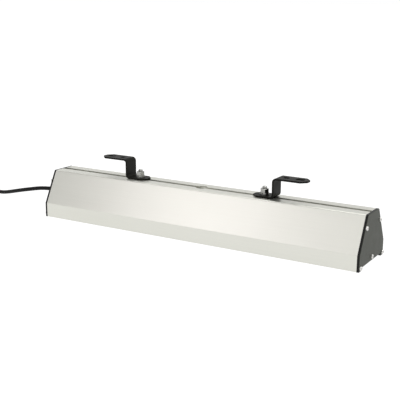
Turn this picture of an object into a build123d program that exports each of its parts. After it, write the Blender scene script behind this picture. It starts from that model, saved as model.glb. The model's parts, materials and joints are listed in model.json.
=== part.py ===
from build123d import *
from math import radians, tan
import os

# An infrared strip warmer: a long aluminium hood with a quartz heating element under it, hung from
# two strap brackets that are clamped in the T-slot along its top.
# Millimetres. X runs along the hood, the supply cord leaves at -X, and the front is -Y. The origin is
# at the centre of the hood's footprint, on the surface that its two skirts stand on.

os.makedirs("parts", exist_ok=True)

# Hood extrusion
LENGTH = 600.0
HEIGHT = 82.2
TOP_HALF = 24.0
BEND_Z = 25.6
SKIRT_HALF = 53.2
WALL = 1.8
LIP = 2.6
TOP_FILLET = 3.0
BEND_FILLET = 2.0
EDGE_FILLET = 1.0
SLOPE_RUN = SKIRT_HALF - TOP_HALF
SLOPE_RISE = HEIGHT - BEND_Z
SLOPE_LENGTH = (SLOPE_RUN**2 + SLOPE_RISE**2) ** 0.5

# T-slot along the top
MOUTH = 8.6
CHANNEL_WIDTH = 13.6
CHANNEL_DEPTH = 6.2
CHANNEL_SIDE = 3.4
LIP_Z = HEIGHT - LIP
CHANNEL_FLOOR = LIP_Z - CHANNEL_DEPTH
CHANNEL_UNDERSIDE = CHANNEL_FLOOR - WALL
INSERTION_RADIUS = 10.0

# Ledges inside the skirts: the lowest carries the wire guard, the other two hold the reflector
LEDGE_REACH = 4.0
GUARD_LEDGE_Z = 15.2
REFLECTOR_LEDGE_Z = 20.0
LEDGE_THICK = 1.6
GROOVE = 1.2

# End caps and their screws, as (y, z)
CAP = 4.2
CAP_FACE = LENGTH / 2 + CAP
CAP_NOTCH = 4.6
NOTCH_HALF = 42.0
CAP_FOOT_INNER = 44.5
UPPER_SCREWS = [(-30.0, 63.0), (30.0, 63.0)]
LOWER_SCREWS = [(-48.5, 5.5), (48.5, 5.5)]
RAIL_SCREW = (0.0, 11.2)
CAP_SCREWS = UPPER_SCREWS + LOWER_SCREWS + [RAIL_SCREW]
BOSS_RADIUS = 3.4
SCREW_CORE = 3.5
SCREW_HEAD = 6.9
SCREW_HEAD_HEIGHT = 2.4
HEAD_FILLET = 1.2
CROSS_LENGTH = 4.0
CROSS_WIDTH = 0.9
CROSS_DEPTH = 1.4
CAP_SCREW_REACH = 12.0
RAIL_BORE_DEPTH = 14.0
CLEARANCE_HOLE = 4.4
CAP_CHAMFER = 0.5

# Wire guard
RAIL_DIAMETER = 8.0
WIRE_DIAMETER = 3.0
WIRE_PITCH = 50.0
WIRE_COUNT = 10
WIRE_Z = GUARD_LEDGE_Z + WIRE_DIAMETER / 2
WIRE_GAP = 0.4

# Element, its bulkheads and the reflector
ELEMENT_Z = 38.0
BULKHEAD_X = 240.0
SHEET = 1.2
REFLECTOR_THICK = 0.8
COVER_THICK = 1.0
REFLECTOR_TOP = 57.6
REFLECTOR_FOLD = 43.0
FOLD_RADIUS = 2.0
SHEET_GAP = 0.5
LEAD_HOLE = (18.0, 68.0)
LEAD_HOLE_RADIUS = 2.5
TAB_LENGTH = 13.0
TAB_WIDTH = 24.0
TAB_SCREW_X = BULKHEAD_X + 9.0
BLANKET_WIDTH = 44.0
BLANKET_THICK = 7.0
BLANKET_FILLET = 2.0
TUBE_DIAMETER = 11.0
TUBE_WALL = 1.0
TUBE_HALF = 232.0
COIL_DIAMETER = 8.4
COIL_BORE = 6.0
BASE_DIAMETER = 16.0
BASE_INNER = 222.0
NECK_DIAMETER = 12.0
NECK_END = 256.0
NECK_GROOVE = 0.8
CLIP_THICK = 1.0
CLIP_RADIUS = 9.0
STUD_DIAMETER = 4.0
STUD_END = 268.0
STUD_DEPTH = 8.0
STUD_NUT_FLATS = 7.0
STUD_NUT_X = 259.0
STUD_NUT_HEIGHT = 3.2

# Wiring
LEAD_DIAMETER = 3.0
CORE_DIAMETER = 2.2
BLOCK_LENGTH = 34.0
BLOCK_WIDTH = 20.0
BLOCK_HEIGHT = 16.0
BLOCK_X = -275.0
POLE_PITCH = 10.0
POLE_Z = CHANNEL_UNDERSIDE - 9.6
BLOCK_UNDERSIDE = CHANNEL_UNDERSIDE - BLOCK_HEIGHT
POLE_BORE_RADIUS = 2.0
POLE_BORE_DEPTH = 5.0
POLE_SCREW_RADIUS = 1.8
POLE_SCREW_DEPTH = 3.0
POLE_SCREW_SPACING = 11.0
POLE_SCREW_LENGTH = 2.0
LEAD_BEND = 4.0
EARTH_LEAD_BEND = 3.2
CORE_BEND = 2.8
EARTH_SCREW = (24.0, 50.0)

# Brackets, for the right-hand one before both are slid along the slot by BRACKET_SHIFT. The corners of
# both ends are cut off.
BRACKET_SHIFT = -3.6
BAR_WIDTH = 28.0
BAR = 3.0
FOOT_X = 104.5
BOLT_X = 122.5
PLATE_X = 145.0
ARM_Z = 114.0
ARM_X = 199.6
BEND_OUTER = 7.0
END_CUT = 9.0
ROUND_HOLE_X = 161.0
ROUND_HOLE_RADIUS = 5.15
SLOT_X = 185.0
SLOT_LENGTH = 15.5
SLOT_WIDTH = 10.0

# M8 fasteners of the brackets
M8 = 8.0
M8_FLATS = 13.0
M8_HEAD = 5.3
WASHER_RADIUS = 8.0
WASHER = 1.6
SPRING_RADIUS = 7.4
SPRING = 2.1
NUT = 6.5
NUT_TURNED = 0.6
BOLT_TIP = 99.0

# Cable gland
GLAND_Z = 39.0
GLAND_FACE = -CAP_FACE
GLAND_FLANGE = 5.0
GLAND_FLATS = 20.0
GLAND_NECK_RADIUS = 7.5
GLAND_NECK = 9.0
GLAND_SPIGOT_RADIUS = 8.0
GLAND_SPIGOT = 12.2
GLAND_BORE_RADIUS = 4.2
GLAND_HOLE_RADIUS = 8.1
SEAL_RADIUS = 5.6
DOME_FLATS = 19.0
DOME_HEXAGON = 9.0
DOME_RADIUS = 9.0
DOME_TIP_RADIUS = 6.6
DOME_BORE_RADIUS = 4.5
DOME_LENGTH = 21.7
DOME_CHAMFER = 0.9
LOCKNUT_FLATS = 22.0
LOCKNUT = 4.0

# Supply cord: each route's points run from the hood to the coil, and from the coil to the plug
CORD = 7.5
LEAD_ROUTE = [
    (-290.0, 0.0, GLAND_Z),
    (-346.0, 0.0, GLAND_Z),
    (-402.0, 4.5, 27.0),
    (-440.0, 13.0, 17.5),
    (-472.0, 22.5, 9.0),
    (-499.0, 30.5, 3.75),
    (-521.0, 37.5, 3.75),
    (-538.5, 42.5, 4.75),
    (-552.0, 42.5, 4.75),
]
TAIL_ROUTE = [
    (-616.0, 44.4, 12.25),
    (-633.0, 44.4, 12.25),
    (-653.0, 43.0, 19.0),
    (-669.0, 43.0, 19.0),
]
COIL_CENTRE = (-584.0, -8.0)
COIL_INNER = 26.1
COIL_OUTER = 56.2
COIL_BOTTOM = 1.0
COIL_TOP = 16.0
COIL_STUB = 32.0
TIE_WIDTH = 8.0
TIE = 1.0
TIE_SLACK = 0.3

# Plug, lying along -X from the end of the tail
PLUG_X, PLUG_Y, PLUG_Z = TAIL_ROUTE[-1]
RELIEF = 25.0
PLUG_BODY = 38.0
PLUG_RADIUS = 19.0
PIN_DIAMETER = 4.8
PIN_LENGTH = 19.0
PIN_PITCH = 19.0
PIN_ROOT = 12.0
PIN_FILLET = 1.6
EARTH_SLOT_WIDTH = 6.0
EARTH_SLOT_DEPTH = 1.6
EARTH_CLIP_WIDTH = 5.0
EARTH_CLIP = 0.8
EARTH_CLIP_LENGTH = 16.0
PLUG_PROFILE = [
    (0.0, 0.0),
    (0.0, 4.7),
    (RELIEF, 7.4),
    (RELIEF, 10.0),
    (RELIEF + 8.0, 13.5),
    (RELIEF + 22.0, 14.5),
    (RELIEF + 28.0, PLUG_RADIUS),
    (RELIEF + PLUG_BODY, PLUG_RADIUS),
    (RELIEF + PLUG_BODY, 0.0),
]


def save(piece, name):
    """Label a finished piece and write its STEP file, which gives the node its name."""
    piece.part.label = name
    export_step(piece.part, f"parts/{name}.step")


def slope_half_width(z, inset=0.0):
    """Half the hood's width at height z on its sloped sides, inset inwards from the outer face."""
    return SKIRT_HALF - ((z - BEND_Z) * SLOPE_RUN + inset * SLOPE_LENGTH) / SLOPE_RISE


def mirrored(points):
    """An outline's left half, given from its lowest point to its highest, with its right half added."""
    return points + [(-y, z) for y, z in reversed(points)]


def hexagon(flats):
    """A hexagon with two of its flats facing +Y and -Y of its sketch."""
    RegularPolygon(radius=flats / 2, side_count=6, major_radius=False)


def end_plane(side, x, z=0.0):
    """A plane across the hood at x on one side (-1 left, 1 right), facing outwards, its Y axis up from z."""
    return Plane(origin=(side * x, 0, z), x_dir=(0, side, 0), z_dir=(side, 0, 0))


def corner_radii(route):
    """The arc radius at each corner of a cord's route: 0.45 of the shorter run over tan(half the turn)."""
    points = [Vector(*point) for point in route]
    radii = []
    for before, corner, after in zip(points, points[1:], points[2:]):
        first, second = corner - before, after - corner
        half_turn = radians(first.get_angle(second)) / 2
        radii.append(0.45 * min(first.length, second.length) / tan(half_turn))
    return radii


def cord_tube(route, name):
    """A tube of the supply cord along a route of straight runs joined by tangent arcs."""
    radii = corner_radii(route)
    with BuildPart() as tube:
        with BuildLine():
            path = FilletPolyline(*route, radius=radii)
        with BuildSketch(Plane(origin=path @ 0, z_dir=path % 0)):
            Circle(CORD / 2)
        sweep()
    print(name, "length", round(path.length, 1), "radii", [round(radius, 1) for radius in radii])
    return tube


def lead(route, diameter, bend):
    """An internal wire along a route, bent with one radius."""
    with BuildPart() as wire:
        with BuildLine():
            path = FilletPolyline(*route, radius=bend)
        with BuildSketch(Plane(origin=path @ 0, z_dir=path % 0)):
            Circle(diameter / 2)
        sweep()
    return wire


# Hood -------------------------------------------------------------------------------------------

skirt_inner = SKIRT_HALF - WALL
bend_inner = BEND_Z - WALL * (SLOPE_LENGTH - SLOPE_RISE) / SLOPE_RUN
with BuildPart() as housing:
    with BuildSketch(Plane.YZ.offset(-LENGTH / 2)) as section:
        with BuildLine():
            Polyline(*mirrored([(-SKIRT_HALF, 0), (-SKIRT_HALF, BEND_Z), (-TOP_HALF, HEIGHT)]), close=True)
        make_face()
        fillet(section.vertices().group_by(Axis.Y)[-1], TOP_FILLET)
        fillet(section.vertices().filter_by_position(Axis.Y, BEND_Z - 1, BEND_Z + 1), BEND_FILLET)
        fillet(section.vertices().group_by(Axis.Y)[0], EDGE_FILLET)
        with BuildLine():
            cavity_top = (-slope_half_width(LIP_Z, WALL), LIP_Z)
            Polyline(*mirrored([(-skirt_inner, -1), (-skirt_inner, bend_inner), cavity_top]), close=True)
        make_face(mode=Mode.SUBTRACT)
        with Locations((0, LIP_Z)):
            channel_block = CHANNEL_WIDTH + 2 * CHANNEL_SIDE
            Rectangle(channel_block, CHANNEL_DEPTH + WALL, align=(Align.CENTER, Align.MAX))
            Rectangle(CHANNEL_WIDTH, CHANNEL_DEPTH, align=(Align.CENTER, Align.MAX), mode=Mode.SUBTRACT)
            Rectangle(MOUTH, LIP, align=(Align.CENTER, Align.MIN), mode=Mode.SUBTRACT)
        with Locations(*UPPER_SCREWS, *LOWER_SCREWS):
            Circle(BOSS_RADIUS)
            Circle(SCREW_CORE / 2, mode=Mode.SUBTRACT)
        upper_ledge = REFLECTOR_LEDGE_Z + GROOVE + LEDGE_THICK
        for ledge_top in (GUARD_LEDGE_Z, REFLECTOR_LEDGE_Z, upper_ledge):
            with Locations((skirt_inner, ledge_top)):
                Rectangle(LEDGE_REACH, LEDGE_THICK, align=(Align.MAX, Align.MAX))
            with Locations((-skirt_inner, ledge_top)):
                Rectangle(LEDGE_REACH, LEDGE_THICK, align=(Align.MIN, Align.MAX))
    extrude(amount=LENGTH)
    with Locations((0, 0, HEIGHT)):
        Hole(INSERTION_RADIUS, LIP)
    for side in (-1, 1):
        with Locations((side * TAB_SCREW_X, 0, CHANNEL_FLOOR)):
            Hole(SCREW_CORE / 2, WALL)
    with Locations((BLOCK_X, 0, CHANNEL_FLOOR)):
        Hole(SCREW_CORE / 2, WALL)
save(housing, "housing")


def end_cap(side, gland_hole):
    """One end plate, with its lower edge raised between the skirts, and round holes for its screws."""
    with BuildPart() as cap:
        with BuildSketch(end_plane(side, LENGTH / 2)) as plate:
            with BuildLine():
                lower_edge = [(-NOTCH_HALF, CAP_NOTCH), (-CAP_FOOT_INNER, 0), (-SKIRT_HALF, 0)]
                Polyline(*mirrored(lower_edge + [(-SKIRT_HALF, BEND_Z), (-TOP_HALF, HEIGHT)]), close=True)
            make_face()
            fillet(plate.vertices().group_by(Axis.Y)[-1], TOP_FILLET)
            with Locations(*CAP_SCREWS):
                Circle(CLEARANCE_HOLE / 2, mode=Mode.SUBTRACT)
            if gland_hole:
                with Locations((0, GLAND_Z)):
                    Circle(GLAND_HOLE_RADIUS, mode=Mode.SUBTRACT)
        extrude(amount=CAP)
        outer_face = cap.faces().sort_by(Axis.X)[0 if side < 0 else -1]
        chamfer(outer_face.outer_wire().edges(), CAP_CHAMFER)
    return cap


def cap_screws(side):
    """The five pan-head screws of one end cap, each with a cross recess."""
    seat = end_plane(side, CAP_FACE)
    with BuildPart() as screws:
        with BuildSketch(seat):
            with Locations(*CAP_SCREWS):
                Circle(SCREW_HEAD / 2)
        extrude(amount=SCREW_HEAD_HEIGHT)
        fillet(screws.edges().group_by(Axis.X)[0 if side < 0 else -1], HEAD_FILLET)
        with BuildSketch(seat.offset(SCREW_HEAD_HEIGHT)):
            with Locations(*CAP_SCREWS):
                Rectangle(CROSS_LENGTH, CROSS_WIDTH)
                Rectangle(CROSS_WIDTH, CROSS_LENGTH)
        extrude(amount=-CROSS_DEPTH, mode=Mode.SUBTRACT)
        with BuildSketch(seat):
            with Locations(*CAP_SCREWS):
                Circle(SCREW_CORE / 2)
        extrude(amount=-CAP - CAP_SCREW_REACH)
    return screws


save(end_cap(-1, gland_hole=True), "end_cap_left")
save(end_cap(1, gland_hole=False), "end_cap_right")
save(cap_screws(-1), "cap_screws_left")
save(cap_screws(1), "cap_screws_right")

# Wire guard -------------------------------------------------------------------------------------

with BuildPart() as guard_rail:
    with BuildSketch(Plane.YZ.offset(-LENGTH / 2)):
        with Locations(RAIL_SCREW):
            Circle(RAIL_DIAMETER / 2)
    extrude(amount=LENGTH)
    for side in (-1, 1):
        with BuildSketch(end_plane(side, LENGTH / 2)):
            with Locations(RAIL_SCREW):
                Circle(SCREW_CORE / 2)
        extrude(amount=-RAIL_BORE_DEPTH, mode=Mode.SUBTRACT)
save(guard_rail, "guard_rail")

with BuildPart() as guard_wires:
    with BuildSketch(Plane.XZ):
        with Locations((0, WIRE_Z)):
            with GridLocations(WIRE_PITCH, 1, WIRE_COUNT, 1):
                Circle(WIRE_DIAMETER / 2)
    extrude(amount=skirt_inner - WIRE_GAP, both=True)
save(guard_wires, "guard_wires")

# Reflector, blanket and bulkheads ------------------------------------------------------------------

with BuildPart() as reflector:
    with BuildSketch(Plane.YZ.offset(-BULKHEAD_X)):
        with BuildLine():
            edge = (-skirt_inner + SHEET_GAP, REFLECTOR_LEDGE_Z)
            fold = (-REFLECTOR_FOLD, REFLECTOR_LEDGE_Z)
            left_side = [edge, fold, (-TOP_HALF, REFLECTOR_TOP)]
            lamp_side = FilletPolyline(*mirrored(left_side), radius=FOLD_RADIUS)
            offset(lamp_side, amount=REFLECTOR_THICK, side=Side.LEFT)
        make_face()
    extrude(amount=2 * BULKHEAD_X)
save(reflector, "reflector")

with BuildPart() as insulation_blanket:
    with Locations((0, 0, REFLECTOR_TOP + REFLECTOR_THICK)):
        blanket_length = 2 * (BULKHEAD_X - 2)
        Box(blanket_length, BLANKET_WIDTH, BLANKET_THICK, align=(Align.CENTER, Align.CENTER, Align.MIN))
    fillet(insulation_blanket.edges().filter_by(Axis.X).group_by(Axis.Z)[-1], BLANKET_FILLET)
save(insulation_blanket, "insulation_blanket")


def bulkhead(side):
    """A steel plate across the hood that carries one end of the element, bent outwards at its top."""
    with BuildPart() as plate:
        with BuildSketch(end_plane(side, BULKHEAD_X)):
            with BuildLine():
                foot = [(-skirt_inner + 1, upper_ledge), (-skirt_inner + 1, bend_inner)]
                shoulder = (-slope_half_width(CHANNEL_UNDERSIDE, WALL + 1), CHANNEL_UNDERSIDE)
                Polyline(*mirrored(foot + [shoulder]), close=True)
            make_face()
            with Locations(*UPPER_SCREWS):
                Circle(BOSS_RADIUS + 0.6, mode=Mode.SUBTRACT)
            with Locations((0, ELEMENT_Z)):
                Circle(NECK_DIAMETER / 2 + 0.2, mode=Mode.SUBTRACT)
            with Locations((side * LEAD_HOLE[0], LEAD_HOLE[1])):
                Circle(LEAD_HOLE_RADIUS, mode=Mode.SUBTRACT)
            with Locations((side * EARTH_SCREW[0], EARTH_SCREW[1])):
                Circle(SCREW_CORE / 2, mode=Mode.SUBTRACT)
        extrude(amount=SHEET)
        with BuildSketch(Plane.XY.offset(CHANNEL_UNDERSIDE)):
            with Locations((side * (BULKHEAD_X + TAB_LENGTH / 2 + 0.7), 0)):
                Rectangle(TAB_LENGTH, TAB_WIDTH)
            with Locations((side * TAB_SCREW_X, 0)):
                Circle(CLEARANCE_HOLE / 2, mode=Mode.SUBTRACT)
        extrude(amount=-SHEET)
    return plate


def wiring_cover(side):
    """The sheet under the wiring space between a bulkhead and an end cap, held in the reflector's groove."""
    with BuildPart() as cover:
        with BuildSketch(Plane.XY.offset(REFLECTOR_LEDGE_Z)):
            with Locations((side * (BULKHEAD_X + SHEET + LENGTH / 2) / 2, 0)):
                Rectangle(LENGTH / 2 - BULKHEAD_X - SHEET, 2 * (skirt_inner - SHEET_GAP))
        extrude(amount=COVER_THICK)
    return cover


for side, name in ((-1, "left"), (1, "right")):
    save(bulkhead(side), f"bulkhead_{name}")
    save(wiring_cover(side), f"wiring_cover_{name}")

with BuildPart() as bulkhead_screws:
    hanging = Plane(origin=(0, 0, CHANNEL_UNDERSIDE - SHEET), x_dir=(1, 0, 0), z_dir=(0, 0, -1))
    with BuildSketch(hanging):
        with GridLocations(2 * TAB_SCREW_X, 1, 2, 1):
            Circle(SCREW_HEAD / 2)
    extrude(amount=SCREW_HEAD_HEIGHT)
    fillet(bulkhead_screws.edges().group_by(Axis.Z)[0], HEAD_FILLET)
    with BuildSketch(hanging):
        with GridLocations(2 * TAB_SCREW_X, 1, 2, 1):
            Circle(SCREW_CORE / 2)
    extrude(amount=-SHEET - WALL)
save(bulkhead_screws, "bulkhead_screws")

# Heating element --------------------------------------------------------------------------------

with BuildPart() as quartz_tube:
    with BuildSketch(Plane.YZ.offset(-TUBE_HALF)):
        with Locations((0, ELEMENT_Z)):
            Circle(TUBE_DIAMETER / 2)
            Circle(TUBE_DIAMETER / 2 - TUBE_WALL, mode=Mode.SUBTRACT)
    extrude(amount=2 * TUBE_HALF)
save(quartz_tube, "quartz_tube")

with BuildPart() as heating_coil:
    with BuildSketch(Plane.YZ.offset(-TUBE_HALF)):
        with Locations((0, ELEMENT_Z)):
            Circle(COIL_DIAMETER / 2)
            Circle(COIL_BORE / 2, mode=Mode.SUBTRACT)
    extrude(amount=2 * TUBE_HALF)
save(heating_coil, "heating_coil")


def element_disc(side, start, length, diameter, mode=Mode.ADD):
    """A cylinder on the element's axis, from x = start outwards, added to or cut from the open part."""
    with Locations(end_plane(side, start, ELEMENT_Z)):
        Cylinder(diameter / 2, length, align=(Align.CENTER, Align.CENTER, Align.MIN), mode=mode)


def ceramic_base(side):
    """The element's end: a shouldered ceramic body with a blind bore for the tube and one for the stud."""
    with BuildPart() as base:
        element_disc(side, BASE_INNER, BULKHEAD_X - BASE_INNER, BASE_DIAMETER)
        element_disc(side, BULKHEAD_X, NECK_END - BULKHEAD_X, NECK_DIAMETER)
        element_disc(side, BASE_INNER, TUBE_HALF - BASE_INNER, TUBE_DIAMETER, Mode.SUBTRACT)
        element_disc(side, NECK_END - STUD_DEPTH, STUD_DEPTH, STUD_DIAMETER, Mode.SUBTRACT)
        with BuildSketch(end_plane(side, BULKHEAD_X + SHEET)):
            with Locations((0, ELEMENT_Z)):
                Circle(NECK_DIAMETER / 2)
                Circle(NECK_DIAMETER / 2 - NECK_GROOVE, mode=Mode.SUBTRACT)
        extrude(amount=CLIP_THICK, mode=Mode.SUBTRACT)
    return base


def element_clip(side):
    """The open spring ring in the ceramic base's groove, outside the bulkhead."""
    with BuildPart() as clip:
        with BuildSketch(end_plane(side, BULKHEAD_X + SHEET)):
            with Locations((0, ELEMENT_Z)):
                Circle(CLIP_RADIUS)
                Circle(NECK_DIAMETER / 2 - NECK_GROOVE, mode=Mode.SUBTRACT)
            with Locations((0, ELEMENT_Z - 8)):
                Rectangle(7, 10, mode=Mode.SUBTRACT)
        extrude(amount=CLIP_THICK)
    return clip


def terminal_stud(side):
    """The element's threaded terminal."""
    with BuildPart() as stud:
        element_disc(side, NECK_END - STUD_DEPTH, STUD_END - NECK_END + STUD_DEPTH, STUD_DIAMETER)
        chamfer(stud.edges().group_by(Axis.X)[0 if side < 0 else -1], 0.5)
    return stud


def stud_nut(side):
    """The nut on the element's terminal."""
    with BuildPart() as nut:
        with BuildSketch(end_plane(side, STUD_NUT_X)):
            with Locations((0, ELEMENT_Z)):
                hexagon(STUD_NUT_FLATS)
                Circle(STUD_DIAMETER / 2, mode=Mode.SUBTRACT)
        extrude(amount=STUD_NUT_HEIGHT)
    return nut


for side, name in ((-1, "left"), (1, "right")):
    save(ceramic_base(side), f"ceramic_base_{name}")
    save(element_clip(side), f"element_clip_{name}")
    save(terminal_stud(side), f"terminal_stud_{name}")
    save(stud_nut(side), f"stud_nut_{name}")

# Terminal block and wiring ------------------------------------------------------------------------

with BuildPart() as terminal_block:
    with Locations((BLOCK_X, 0, BLOCK_UNDERSIDE)):
        Box(BLOCK_LENGTH, BLOCK_WIDTH, BLOCK_HEIGHT, align=(Align.CENTER, Align.CENTER, Align.MIN))
    fillet(terminal_block.edges().filter_by(Axis.Z), 2)
    for pole in (-1, 0, 1):
        for y_side in (-1, 1):
            with BuildSketch(Plane.XZ.offset(y_side * BLOCK_WIDTH / 2)):
                with Locations((BLOCK_X + pole * POLE_PITCH, POLE_Z)):
                    Circle(POLE_BORE_RADIUS)
            extrude(amount=-y_side * POLE_BORE_DEPTH, mode=Mode.SUBTRACT)
    with BuildSketch(Plane.XY.offset(BLOCK_UNDERSIDE)):
        with Locations((BLOCK_X, 0)):
            with GridLocations(POLE_PITCH, POLE_SCREW_SPACING, 3, 2):
                Circle(POLE_SCREW_RADIUS)
    extrude(amount=POLE_SCREW_DEPTH, mode=Mode.SUBTRACT)
    with BuildSketch(Plane.XY.offset(BLOCK_UNDERSIDE)):
        with Locations((BLOCK_X, 0)):
            Circle(SCREW_CORE / 2)
    extrude(amount=BLOCK_HEIGHT, mode=Mode.SUBTRACT)
save(terminal_block, "terminal_block")

with BuildPart() as terminal_screws:
    with BuildSketch(Plane.XY.offset(BLOCK_UNDERSIDE + POLE_SCREW_DEPTH)):
        with Locations((BLOCK_X, 0)):
            with GridLocations(POLE_PITCH, POLE_SCREW_SPACING, 3, 2):
                Circle(POLE_SCREW_RADIUS)
    extrude(amount=-POLE_SCREW_LENGTH)
    with BuildSketch(Plane.XY.offset(BLOCK_UNDERSIDE + POLE_SCREW_DEPTH - POLE_SCREW_LENGTH)):
        with Locations((BLOCK_X, 0)):
            with GridLocations(POLE_PITCH, POLE_SCREW_SPACING, 3, 2):
                Rectangle(3, 0.6)
    extrude(amount=0.8, mode=Mode.SUBTRACT)
save(terminal_screws, "terminal_screws")

with BuildPart() as block_screw:
    with Locations((BLOCK_X, 0, BLOCK_UNDERSIDE)):
        Cylinder(3, 1.8, align=(Align.CENTER, Align.CENTER, Align.MAX))
    fillet(block_screw.edges().group_by(Axis.Z)[0], 0.8)
    with Locations((BLOCK_X, 0, BLOCK_UNDERSIDE)):
        Cylinder(SCREW_CORE / 2, BLOCK_HEIGHT + WALL, align=(Align.CENTER, Align.CENTER, Align.MIN))
save(block_screw, "block_screw")

with BuildPart() as earth_screw:
    earth_y, earth_z = EARTH_SCREW
    bulkhead_outer = Plane(origin=(-BULKHEAD_X - SHEET, earth_y, earth_z), z_dir=(-1, 0, 0))
    with BuildSketch(bulkhead_outer):
        Circle(SCREW_HEAD / 2)
    extrude(amount=SCREW_HEAD_HEIGHT)
    fillet(earth_screw.edges().group_by(Axis.X)[0], HEAD_FILLET)
    with BuildSketch(bulkhead_outer):
        Circle(SCREW_CORE / 2)
    extrude(amount=-SHEET)
save(earth_screw, "earth_screw")

block_face = BLOCK_WIDTH / 2
stud_touch = (1.75, ELEMENT_Z + 1.3)
right_terminal = STUD_END - 3

live_lead = lead(
    [
        (BLOCK_X + POLE_PITCH, block_face, POLE_Z),
        (BLOCK_X + POLE_PITCH, 19, 57),
        (BLOCK_X + POLE_PITCH, 14, 46),
        (-right_terminal, *stud_touch),
    ],
    LEAD_DIAMETER,
    LEAD_BEND,
)
save(live_lead, "live_lead")

return_lead = lead(
    [
        (BLOCK_X, block_face, POLE_Z),
        (BLOCK_X, 19, 63),
        (-262, 20, 67),
        (-250, *LEAD_HOLE),
        (250, *LEAD_HOLE),
        (right_terminal, 17, 62),
        (right_terminal, 14, 46),
        (right_terminal, *stud_touch),
    ],
    LEAD_DIAMETER,
    LEAD_BEND,
)
save(return_lead, "return_lead")

earth_lead = lead(
    [
        (BLOCK_X - POLE_PITCH, block_face, POLE_Z),
        (BLOCK_X - POLE_PITCH, 20, 59),
        (-262, 24, 61),
        (-243.2, 24, 62),
        (-243.2, 24, EARTH_SCREW[1] + SCREW_HEAD / 2 + 0.1),
    ],
    LEAD_DIAMETER,
    EARTH_LEAD_BEND,
)
save(earth_lead, "earth_lead")

jacket_end = LEAD_ROUTE[0][0]
core_routes = {
    "cord_core_live": [
        (jacket_end, 1.4, 38),
        (-281, 1.4, 38),
        (-268, -15, 44),
        (BLOCK_X + POLE_PITCH, -19, 58),
        (BLOCK_X + POLE_PITCH, -block_face, POLE_Z),
    ],
    "cord_core_neutral": [
        (jacket_end, -1.4, 38),
        (-283, -1.4, 38),
        (-276, -18, 46),
        (BLOCK_X, -21, 58),
        (BLOCK_X, -block_face, POLE_Z),
    ],
    "cord_core_earth": [
        (jacket_end, 0, 40.6),
        (-284, 0, 40.6),
        (-284, -17, 48),
        (BLOCK_X - POLE_PITCH, -20, 58),
        (BLOCK_X - POLE_PITCH, -block_face, POLE_Z),
    ],
}
for name, route in core_routes.items():
    save(lead(route, CORE_DIAMETER, CORE_BEND), name)

# Cable gland ------------------------------------------------------------------------------------

gland_plane = Plane(origin=(GLAND_FACE, 0, GLAND_Z), x_dir=(0, 1, 0), z_dir=(-1, 0, 0))
seal_start = GLAND_FLANGE + 0.3
neck_end = GLAND_FLANGE + GLAND_NECK

with BuildPart() as gland_body:
    with BuildSketch(gland_plane):
        hexagon(GLAND_FLATS)
    extrude(amount=GLAND_FLANGE)
    with BuildSketch(gland_plane):
        Circle(GLAND_NECK_RADIUS)
    extrude(amount=neck_end)
    with BuildSketch(gland_plane):
        Circle(GLAND_SPIGOT_RADIUS)
    extrude(amount=-GLAND_SPIGOT)
    with BuildSketch(gland_plane.offset(neck_end)):
        Circle(SEAL_RADIUS + 0.1)
    extrude(amount=seal_start - neck_end, mode=Mode.SUBTRACT)
    with BuildSketch(gland_plane.offset(seal_start)):
        Circle(GLAND_BORE_RADIUS)
    extrude(amount=-seal_start - GLAND_SPIGOT, mode=Mode.SUBTRACT)
save(gland_body, "gland_body")

with BuildPart() as gland_seal:
    with BuildSketch(gland_plane.offset(seal_start)):
        Circle(SEAL_RADIUS)
        Circle(CORD / 2, mode=Mode.SUBTRACT)
    extrude(amount=neck_end - seal_start)
save(gland_seal, "gland_seal")

with BuildPart() as gland_nut:
    with BuildSketch(gland_plane.offset(seal_start)):
        hexagon(DOME_FLATS)
    extrude(amount=DOME_HEXAGON)
    with BuildSketch(gland_plane.offset(seal_start + DOME_HEXAGON)):
        Circle(DOME_RADIUS)
    with BuildSketch(gland_plane.offset(seal_start + DOME_LENGTH)):
        Circle(DOME_TIP_RADIUS)
    loft()
    with BuildSketch(gland_plane.offset(seal_start)):
        Circle(GLAND_NECK_RADIUS + 0.1)
    extrude(amount=neck_end - seal_start + 0.3, mode=Mode.SUBTRACT)
    with BuildSketch(gland_plane.offset(seal_start)):
        Circle(DOME_BORE_RADIUS)
    extrude(amount=DOME_LENGTH, mode=Mode.SUBTRACT)
    chamfer(gland_nut.edges().group_by(Axis.X)[0].sort_by(SortBy.RADIUS)[0], DOME_CHAMFER)
save(gland_nut, "gland_nut")

with BuildPart() as gland_locknut:
    with BuildSketch(Plane(origin=(-LENGTH / 2, 0, GLAND_Z), x_dir=(0, 1, 0), z_dir=(1, 0, 0))):
        hexagon(LOCKNUT_FLATS)
        Circle(GLAND_SPIGOT_RADIUS, mode=Mode.SUBTRACT)
    extrude(amount=LOCKNUT)
save(gland_locknut, "gland_locknut")

# Supply cord, its coil and tie --------------------------------------------------------------------

for route, name in ((LEAD_ROUTE, "supply_cord"), (TAIL_ROUTE, "cord_tail")):
    save(cord_tube(route, name), name)

coil_x, coil_y = COIL_CENTRE
bundle_width = COIL_OUTER - COIL_INNER + 2 * TIE_SLACK
tie_box = (bundle_width + 2 * TIE, TIE_WIDTH, COIL_TOP - COIL_BOTTOM + 2 * TIE)
tie_x = coil_x - (COIL_INNER + COIL_OUTER) / 2
with BuildPart() as cord_coil:
    with BuildSketch(Plane.XY.offset(COIL_BOTTOM)):
        with Locations(COIL_CENTRE):
            Circle(COIL_OUTER)
            Circle(COIL_INNER, mode=Mode.SUBTRACT)
    extrude(amount=COIL_TOP - COIL_BOTTOM)
    for end, stub in ((LEAD_ROUTE[-1], COIL_STUB), (TAIL_ROUTE[0], -COIL_STUB)):
        with BuildSketch(Plane.YZ.offset(coil_x)):
            with Locations(end[1:]):
                Rectangle(CORD, CORD)
        extrude(amount=stub)
save(cord_coil, "cord_coil")

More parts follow.
